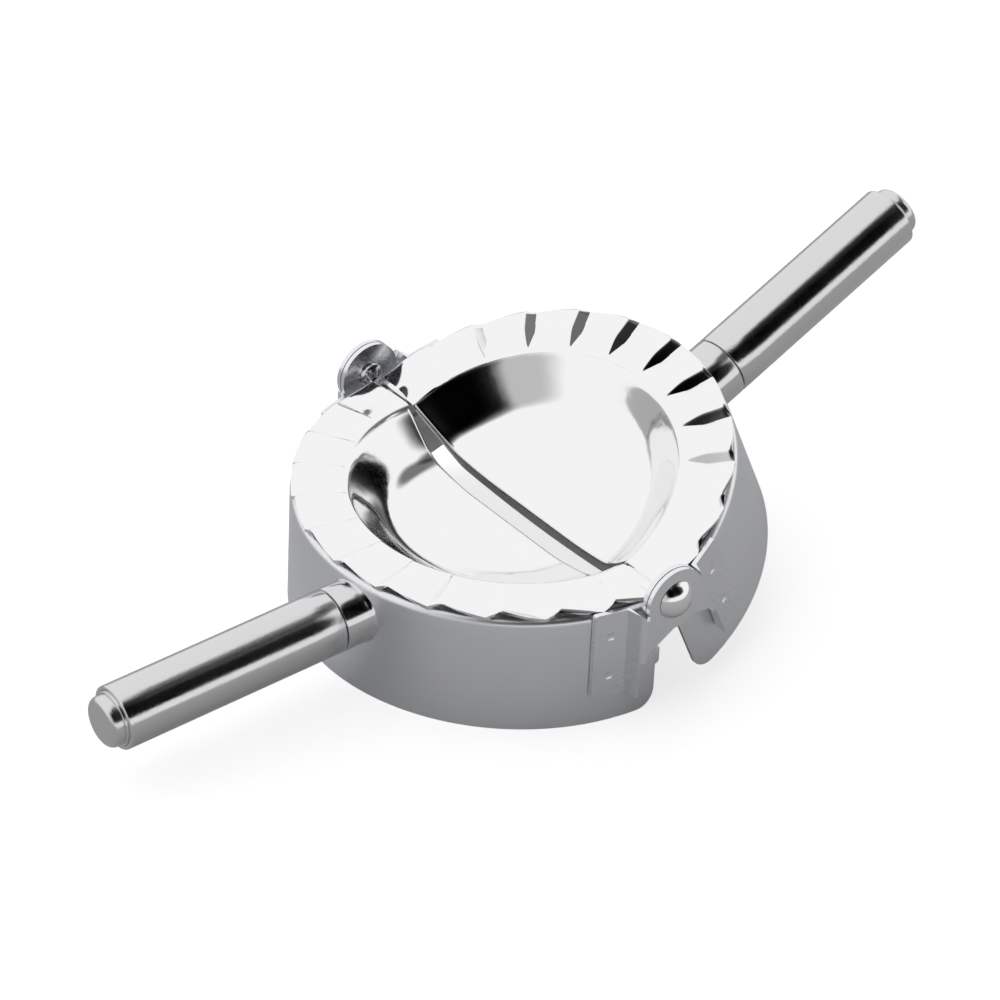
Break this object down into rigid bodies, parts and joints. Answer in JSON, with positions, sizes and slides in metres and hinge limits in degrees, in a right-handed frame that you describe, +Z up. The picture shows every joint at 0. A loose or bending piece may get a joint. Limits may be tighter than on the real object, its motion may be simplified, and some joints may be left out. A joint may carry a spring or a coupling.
{
  "type": "empanada press",
  "caption": "Folding press with two pleated, bowled half plates on half-ring skirts, hinged at riveted ears, with a tube handle on each half.",
  "frame": {"origin": "under the middle of the whole press, on the table that the left half stands on", "axes": "+X along the handles towards the raised half, +Y along the hinge line towards the rear rivet, +Z up"},
  "size_m": [0.2042, 0.1038, 0.0616],
  "materials": {
    "pressed_plate": "mirror-polished stainless steel",
    "skirt_band": "satin stainless steel",
    "hinge_bracket": "satin stainless steel",
    "rivet": "bright stainless steel",
    "handle_ferrule": "polished stainless steel",
    "handle_tube": "fine brushed stainless steel",
    "end_plug": "bright stainless steel"
  },
  "bodies": {
    "left_half": {"front_rivet": "rivet", "left_end_plug": "end_plug", "left_front_bracket": "hinge_bracket", "left_handle_ferrule": "handle_ferrule", "left_handle_tube": "handle_tube", "left_pleated_plate": "pressed_plate", "left_rear_bracket": "hinge_bracket", "left_skirt": "skirt_band", "rear_rivet": "rivet"},
    "right_half": {"right_end_plug": "end_plug", "right_front_bracket": "hinge_bracket", "right_handle_ferrule": "handle_ferrule", "right_handle_tube": "handle_tube", "right_pleated_plate": "pressed_plate", "right_rear_bracket": "hinge_bracket", "right_skirt": "skirt_band"}
  },
  "joints": [
    {"name": "fold", "type": "hinge", "parent": "left_half", "child": "right_half", "pos_m": [0.00103, 0, 0.02782], "axis": [0, -1, 0], "range_deg": [-23.6, 156.4]}
  ]
}
